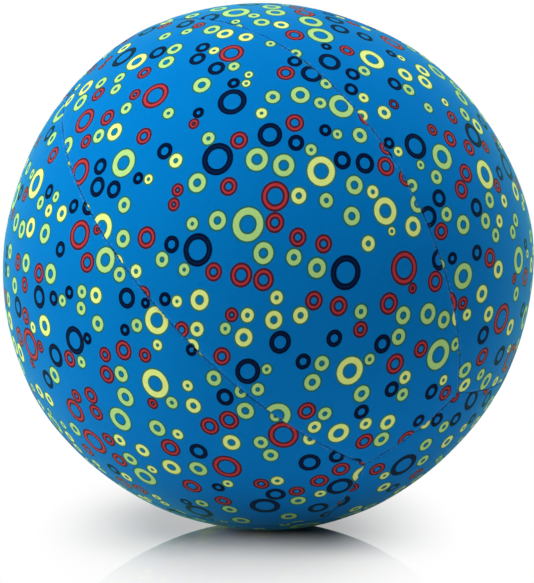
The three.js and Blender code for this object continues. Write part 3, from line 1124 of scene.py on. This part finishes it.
def make_balloon_skin():
    """The blown balloon, with the pocket that its tucked neck presses into it."""
    columns = 120
    azimuth = circle(columns)
    level = np.ones(columns)
    flutes = 1 + FLUTE_DEPTH * np.cos(FLUTES * azimuth)
    rows = []

    def ring(radius, height):
        across, along = radius * np.cos(azimuth), radius * np.sin(azimuth)
        rows.append(np.stack((across, along, height * level), axis=-1))

    ring(NECK_RADIUS * NECK_WAIST, NECK_TIP)
    for share in np.linspace(0, 1, 14):
        flare = (NECK_FOOT - NECK_RADIUS) * share**3
        ring((NECK_RADIUS + flare) * flutes, NECK_TIP + share * (POCKET_FLOOR - NECK_TIP))
    for share in np.linspace(0, 1, 16)[1:]:
        radius = NECK_FOOT + share * (POCKET_RADIUS - NECK_FOOT)
        gathers = GATHER_DEPTH * np.cos(GATHERS * azimuth + 1) * math.exp(-GATHER_FADE * share)
        radius = radius * (1 + (flutes - 1) * math.exp(-FLUTE_FADE * share))
        ring(radius, POCKET_FLOOR - gathers - SKIN_ROOM)
    rim_polar = math.asin((POCKET_RADIUS + POCKET_SLOPE) / (BALL_RADIUS - BALLOON_INSET))
    rim_direction = unit(azimuth, rim_polar)
    rim = rim_direction * (outer_radius(rim_direction) - BALLOON_INSET)[:, None]
    for share in np.linspace(0, 1, 16)[1:-1]:
        radius = POCKET_RADIUS + share * (np.hypot(rim[:, 0], rim[:, 1]) - POCKET_RADIUS)
        ring(radius, POCKET_FLOOR + smooth(share) * (rim[:, 2] - POCKET_FLOOR))
    for polar in np.linspace(rim_polar, math.pi, 74):
        directions = unit(azimuth, polar)
        rows.append(directions * (outer_radius(directions) - BALLOON_INSET - SKIN_ROOM)[:, None])
    faces = grid_faces(len(rows), columns, closed=True).tolist() + [list(range(columns))]
    rubber_piece("balloon_skin", np.array(rows), faces, "balloon_body", "cover")


def trefoil_point(degrees):
    """A trefoil, moved so that it crosses the neck's axis at 0 degrees."""
    turn = math.radians(degrees)
    point = np.array(
        (
            math.sin(turn) - 2 * math.sin(2 * turn),
            3 - math.cos(turn) - 2 * math.cos(2 * turn),
            -math.sin(3 * turn),
        )
    )
    return point * KNOT_SCALE + np.array((0, 0, KNOT_MIDDLE))


def through(points, steps):
    """A smooth line through points."""
    points = np.array(points)
    padded = np.concatenate((2 * points[:1] - points[1:2], points, 2 * points[-1:] - points[-2:-1]))
    line = []
    for i in range(len(points) - 1):
        a, b, c, d = padded[i : i + 4]
        for t in np.arange(steps) / steps:
            bend = (2 * a - 5 * b + 4 * c - d) * t**2 + (3 * b - 3 * c + d - a) * t**3
            line.append(b + ((c - a) * t + bend) / 2)
    return np.array([*line, points[-1]])


def make_knot():
    """The overhand knot in the neck."""
    degrees = np.arange(TREFOIL_OPENING, 361 - TREFOIL_OPENING, TREFOIL_STEP)
    start = np.array((0, 0, KNOT_MIDDLE - KNOT_LEAD))
    route = [start, start + np.array((0, 0, KNOT_STRAND / 2))]
    route += [trefoil_point(turn) for turn in degrees]
    route += [TAIL_PIVOT - TAILWARDS * 2 * KNOT_STRAND, TAIL_PIVOT]
    path = through(route, steps=9)
    steps = np.arange(len(path))
    swell = 1 + KNOT_BUMPS * np.sin(steps * 0.9) * np.sin(steps * 0.23)
    points, faces = tube(path, KNOT_STRAND * swell, sides=18, up=(1, 0, 0))
    rubber_piece("balloon_neck_knot", points, faces, "balloon_knot", "cover")


def make_loose_end():
    """The limp end of the neck, fluted, with its rolled lip."""
    columns = 64
    angle = circle(columns)
    bead_middle = TAIL_LENGTH - LIP_BEAD
    profile = []
    for turn in np.linspace(-math.pi / 2, 0, 6):
        profile.append((KNOT_STRAND * math.cos(turn), KNOT_STRAND * math.sin(turn)))
    for t in np.linspace(0, 1, 22)[1:]:
        radius = KNOT_STRAND * (1 - t * t) + LIP_RADIUS * t * t
        profile.append((radius, t * (bead_middle - LIP_BEAD)))
    for turn in np.linspace(-math.pi / 2, math.pi, 16)[1:]:
        place = (LIP_RADIUS + LIP_BEAD * math.cos(turn), bead_middle + LIP_BEAD * math.sin(turn))
        profile.append(place)
    for t in np.linspace(0, 1, 14)[1:]:
        inner = (LIP_RADIUS - LIP_BEAD) * (1 - t) ** 2
        profile.append((inner, bead_middle * (1 - t / 2)))
    limp = np.array([min(1, max(0, height / bead_middle)) for _, height in profile])[:, None]
    folds = 1 - limp * LIMP_DEPTH * (1 + np.cos(LIMP_FOLDS * angle + 0.8)[None, :])
    radius = np.array([r for r, _ in profile])[:, None] * folds
    height = np.array([h for _, h in profile])[:, None] * np.ones(columns)[None, :]
    sideways = np.array((1.0, 0, 0))
    upwards = np.cross(sideways, TAILWARDS)
    points = (
        TAIL_PIVOT
        + height[..., None] * TAILWARDS
        + (radius * np.cos(angle))[..., None] * sideways
        + (radius * np.sin(angle))[..., None] * upwards
    )
    faces = grid_faces(len(profile), columns, closed=True).tolist()
    rubber_piece("balloon_loose_end", points, faces, "balloon_tail", "loose_end")


# Stage

WHITE = (1.0, 1.0, 1.0)
WARM = (1.0, 1.0, 0.9)
COOL = (0.9, 0.94, 1.0)
LAMP_DISTANCE = 2.0

# Each lamp: its name, bearing from +X and height in degrees, width, power's setting and colour
LAMPS = (
    ("lamp_over", 265, 83, 1.4, "over_power", WHITE),
    ("lamp_upper_left", 220, 50, 1.0, "upper_power", WARM),
    ("lamp_left", 184, 10, 1.0, "left_power", WARM),
    ("lamp_upper_right", 315, 60, 1.0, "upper_right_power", COOL),
    ("lamp_behind", 34, 30, 1.0, "behind_power", WARM),
)

# The floor shows its own colour in a pool round the ball and is white beyond
FLOOR_REACH = 3.0
FLOOR_COLOUR = (0.83, 0.82, 0.8)
POOL_SHIFT = (0.012, 0.0, 0.0)  # its middle is this far to the left
POOL_FORM = (1.0, 0.36, 1.0)  # and it is longer front to back
POOL_END = 2.8  # it ends at this many times the distance at which it starts to fade
FORWARDS = (0.0, -1.0, 0.0)
WHITER = ((0.015, 0.13, 0.48), (0.15, 0.4, 0.36))  # painted light: white glow that lightens the ball's shadow in front of it, in two steps: start, end and share


def aimed_camera(stage):
    """The photograph's camera, a little above level, with the ball where the photograph has it."""
    back = Vector((0, -math.cos(stage.camera_height), math.sin(stage.camera_height)))
    metres_per_px = stage.camera_distance / PX_PER_RADIAN
    right = Vector((1, 0, 0))
    up = back.cross(right)
    aside = (PHOTO_WIDTH / 2 - BALL_MIDDLE_PX[0]) * metres_per_px
    lower = (PHOTO_HEIGHT / 2 - BALL_MIDDLE_PX[1]) * metres_per_px
    data = bpy.data.cameras.new("camera")
    data.lens = PX_PER_RADIAN * SENSOR / PHOTO_HEIGHT
    data.sensor_width = SENSOR
    data.sensor_fit = "AUTO"
    data.clip_start = 0.05
    data.clip_end = 50
    camera = in_scene("camera", data)
    camera.location = Vector(MIDDLE) + back * stage.camera_distance + right * aside - up * lower
    camera.rotation_euler = back.to_track_quat("Z", "Y").to_euler()
    bpy.context.scene.camera = camera


def lamp(name, bearing, height, size, power, colour):
    """A round soft lamp that the floor doesn't mirror."""
    data = bpy.data.lights.new(name, "AREA")
    data.shape = "DISK"
    data.size = size
    data.energy = power
    data.color = colour
    light = in_scene(name, data)
    light.visible_glossy = False
    bearing, height = math.radians(bearing), math.radians(height)
    level = math.cos(height)
    away = Vector((level * math.cos(bearing), level * math.sin(bearing), math.sin(height)))
    light.location = Vector(MIDDLE) + LAMP_DISTANCE * away
    light.rotation_euler = away.to_track_quat("Z", "Y").to_euler()


def sees_white(paint):
    """1 for rays from the camera, a gloss or a glass, which see the room in pure white."""
    kinds = ("Is Camera Ray", "Is Glossy Ray", "Is Transmission Ray")
    camera, gloss, glass = (paint.node("ShaderNodeLightPath", None, None, kind) for kind in kinds)
    return camera.most(gloss).most(glass)


def light_world(strength):
    """A room that lights the ball evenly, and is white to the rays that see it so."""
    world = bpy.data.worlds.new("room")
    bpy.context.scene.world = world
    paint = Paint(world)
    room = paint.node("ShaderNodeBackground", None, {"Color": WHITE, "Strength": strength})
    white = paint.node("ShaderNodeBackground", None, {"Color": WHITE, "Strength": 1.0})
    mixed = paint.node("ShaderNodeMixShader", None, {0: sees_white(paint), 1: room, 2: white})
    paint.node("ShaderNodeOutputWorld", None, {"Surface": mixed})


def floor_paint(paint):
    """Glossy white near the ball, that fades into the white room."""
    fade = bpy.context.scene.ball_stage.floor_fade
    place = paint.node("ShaderNodeTexCoord", None, None, "Object")
    oval = paint.vector("MULTIPLY", paint.vector("ADD", place, POOL_SHIFT), POOL_FORM)
    away = paint.vector("LENGTH", oval, None, output="Value")
    front = paint.vector("DOT_PRODUCT", place, FORWARDS, output="Value")
    # Painted light: in front of the ball, white glow lightens the floor's shadow for the camera
    first, second = (front.step(start, end) * share for start, end, share in WHITER)
    far = away.step(fade, fade * POOL_END)
    far = far + (first + second) * (1 - far)
    gloss = {"Base Color": FLOOR_COLOUR, "Roughness": 0.012, "Specular IOR Level": 0.35}
    near = paint.node("ShaderNodeBsdfPrincipled", None, gloss)
    white = paint.node("ShaderNodeEmission", None, {"Color": WHITE, "Strength": 1.0})
    seen = far * sees_white(paint)
    mixed = paint.node("ShaderNodeMixShader", None, {0: seen, 1: near, 2: white})
    paint.node("ShaderNodeOutputMaterial", None, {"Surface": mixed})
    return paint.owner


def make_floor():
    """The floor that the ball rests on."""
    reach = FLOOR_REACH
    corners = [(-reach, -reach, 0), (reach, -reach, 0), (reach, reach, 0), (-reach, reach, 0)]
    below = (0, 0, -1)
    white_floor = material("white_floor", floor_paint)
    floor = new_piece("floor", corners, [(0, 1, 2, 3)], [white_floor], None, below)


# Add-on: settings, operators and panel


def colour_setting(name, description, default):
    """A colour that a user can change."""
    return bpy.props.FloatVectorProperty(
        name=name, description=description, default=default, subtype="COLOR", size=3, min=0, max=1
    )


def length_setting(name, description, default):
    """A length in metres that a user can change."""
    return bpy.props.FloatProperty(
        name=name, description=description, default=default, unit="LENGTH", min=0, precision=5
    )


def power_setting(name, description, default):
    """A lamp's power in watts that a user can change."""
    return bpy.props.FloatProperty(
        name=name, description=description, default=default, unit="POWER", min=0
    )


class BallCover(bpy.types.PropertyGroup):
    """Sizes of the sewing and the weave."""

    seam_depth: length_setting("Seam depth", "How deep the cloth dips into a seam", 0.00028)
    seam_width: length_setting("Seam width", "Half the width of the dip at a seam", 0.0008)
    drawn_in: length_setting("Drawn in", "How far a seam holds the cloth in", 0.0002)
    pucker: length_setting("Pucker", "Height of the puckers along a seam", 0.00016)
    pucker_reach: length_setting("Pucker reach", "How far puckers run from a seam", 0.005)
    pucker_length: length_setting("Pucker length", "Longest distance between puckers", 0.014)
    unevenness: length_setting("Unevenness", "Rise and fall of the blown-up cloth", 0.00012)
    stitch_length: length_setting("Stitch length", "From one needle hole to the next", 0.0025)
    stitch_cross: length_setting("Stitch across", "Length of thread across a seam", 0.0009)
    stitch_pull: length_setting("Stitch pull", "How far a stitch pulls the cloth in", 0.0001)
    thread_width: length_setting("Thread width", "Thickness of the sewing thread", 0.00026)
    weave_pitch: length_setting("Weave pitch", "From one yarn to the next", 0.00045)
    weave_depth: length_setting("Weave depth", "Height of the yarns", 0.00003)


class BallColours(bpy.types.PropertyGroup):
    """Colours of the print, the thread and the rubber."""

    ground: colour_setting("Ground", "Blue ground of the print", (0.0, 0.185, 0.56))
    ground_deep: colour_setting("Deep ground", "Blue where the dye took more", (0.0, 0.145, 0.5))
    yellow: colour_setting("Yellow", "Yellow rings", (0.75, 0.87, 0.27))
    green: colour_setting("Green", "Green rings", (0.43, 0.7, 0.25))
    red: colour_setting("Red", "Red rings", (0.49, 0.036, 0.048))
    navy: colour_setting("Navy", "Dark rings", (0.002, 0.012, 0.05))
    # Paler cloth beside a seam: wear, and a painted highlight on the seam's fold
    wear_and_highlight: colour_setting("Worn", "Rubbed cloth beside a seam", (0.3, 0.5, 0.85))
    reverse: colour_setting("Reverse", "Back of the printed cloth", (0.35, 0.55, 0.82))
    thread: colour_setting("Thread", "Sewing thread", (0.0, 0.06, 0.25))
    # Painted highlight on the crests of the thread's twist
    thread_twist_highlight: colour_setting("Thread light", "Upper side of its twist", (0.01, 0.11, 0.38))
    latex: colour_setting("Latex", "Stretched rubber", (0.34, 0.57, 0.81))
    latex_thick: colour_setting("Thick latex", "Rubber where it is thicker", (0.2, 0.42, 0.72))
    powder: colour_setting("Powder", "Fine powder on the rubber", (0.85, 0.9, 0.95))


class BallStage(bpy.types.PropertyGroup):
    """Camera, light and floor."""

    camera_distance: length_setting("Camera distance", "From the camera to the ball", 1.8)
    camera_height: bpy.props.FloatProperty(
        name="Camera height", description="Angle above level", default=math.radians(5), unit="ROTATION"
    )
    room_light: bpy.props.FloatProperty(
        name="Room light", description="Strength of the even light", default=0.05, min=0
    )
    over_power: power_setting("Power over", "Lamp over the ball", 26.0)
    upper_power: power_setting("Upper power", "Lamp at the upper left", 14.0)
    left_power: power_setting("Left power", "Low lamp on the left", 24.5)
    upper_right_power: power_setting("Upper right power", "Lamp at the upper right", 3.6)
    behind_power: power_setting("Power behind", "Lamp behind on the right", 15.0)
    floor_fade: length_setting("Floor fade", "Where the floor starts to fade to white", 0.045)


class BallGores(bpy.types.Operator):
    """Make the six gores of the cover."""

    bl_idname = "balloon_ball.gores"
    bl_label = "Gores"

    def execute(self, context):
        for number in range(1, GORES + 1):
            make_gore(number)
        return {"FINISHED"}


class BallFrontCap(bpy.types.Operator):
    """Make the closed end cap."""

    bl_idname = "balloon_ball.front_cap"
    bl_label = "Front cap"

    def execute(self, context):
        make_front_cap()
        return {"FINISHED"}


class BallRearCap(bpy.types.Operator):
    """Make the two halves of the end cap with the mouth."""

    bl_idname = "balloon_ball.rear_cap"
    bl_label = "Rear cap"

    def execute(self, context):
        make_over_half()
        make_under_half()
        return {"FINISHED"}


class BallFlap(bpy.types.Operator):
    """Make the flap over the mouth."""

    bl_idname = "balloon_ball.flap"
    bl_label = "Flap"

    def execute(self, context):
        make_flap()
        return {"FINISHED"}


class BallThread(bpy.types.Operator):
    """Sew the seams and the hems."""

    bl_idname = "balloon_ball.thread"
    bl_label = "Thread"

    def execute(self, context):
        proud = context.scene.ball_cover.thread_width / 2
        sew("seam_thread", long_seams() + cap_seams(), 0.0, "cover")
        row = np.linspace(-0.5, 0.5, 200)[:, None]
        root = np.concatenate((row * FLAP_WIDTH * ROOT_SPAN, 0 * row + HINGE_OFFSET + ROOT_RISE), axis=1)
        sew("flap_root_thread", [dash_line(root, 0.0)], proud, "cover")
        shares = np.linspace(0, 1, 400)
        inset = HEM - STITCH_IN
        hem = moon(FLAP_WIDTH - 2 * inset, FLAP_LENGTH - inset, shares)
        blend_flap(sew("flap_hem_thread", [dash_line(hem, HEM_SUNK)], proud))
        mouth = moon(MOUTH_WIDTH + 2 * inset, MOUTH_LENGTH + inset, shares)
        sew("mouth_hem_thread", [dash_line(mouth, LAP_TOP)], proud / 4, "cover")
        return {"FINISHED"}


class BallBalloon(bpy.types.Operator):
    """Make the balloon inside, its knot and its loose end."""

    bl_idname = "balloon_ball.balloon"
    bl_label = "Balloon"

    def execute(self, context):
        make_balloon_skin()
        make_knot()
        make_loose_end()
        return {"FINISHED"}


class BallStageMake(bpy.types.Operator):
    """Set up the camera, the lights and the floor."""

    bl_idname = "balloon_ball.stage"
    bl_label = "Stage"

    def execute(self, context):
        stage = context.scene.ball_stage
        context.scene.view_settings.view_transform = "Standard"
        aimed_camera(stage)
        light_world(stage.room_light)
        for name, bearing, height, size, power, colour in LAMPS:
            lamp(name, bearing, height, size, getattr(stage, power), colour)
        make_floor()
        return {"FINISHED"}


OPERATORS = (
    BallStageMake,
    BallGores,
    BallFrontCap,
    BallRearCap,
    BallFlap,
    BallBalloon,
    BallThread,
)


class BallPanel(bpy.types.Panel):
    """Lists the steps that dress the ball."""

    bl_idname = "VIEW3D_PT_balloon_ball"
    bl_label = "Balloon Ball"
    bl_space_type = "VIEW_3D"
    bl_region_type = "UI"
    bl_category = "Balloon Ball"

    def draw(self, context):
        for operator in OPERATORS:
            self.layout.operator(operator.bl_idname)


CLASSES = (BallCover, BallColours, BallStage, *OPERATORS, BallPanel)


def register():
    """Adds the classes and the settings that the scene keeps."""
    for cls in CLASSES:
        bpy.utils.register_class(cls)
    bpy.types.Scene.ball_cover = bpy.props.PointerProperty(type=BallCover)
    bpy.types.Scene.ball_colours = bpy.props.PointerProperty(type=BallColours)
    bpy.types.Scene.ball_stage = bpy.props.PointerProperty(type=BallStage)


def unregister():
    """Takes the settings and the classes out again."""
    del bpy.types.Scene.ball_stage
    del bpy.types.Scene.ball_colours
    del bpy.types.Scene.ball_cover
    for cls in reversed(CLASSES):
        bpy.utils.unregister_class(cls)


def main():
    """Dresses the ball."""
    register()
    bpy.ops.balloon_ball.stage()
    bpy.ops.balloon_ball.gores()
    bpy.ops.balloon_ball.front_cap()
    bpy.ops.balloon_ball.rear_cap()
    bpy.ops.balloon_ball.flap()
    bpy.ops.balloon_ball.balloon()
    bpy.ops.balloon_ball.thread()


if __name__ == "__main__":
    main()
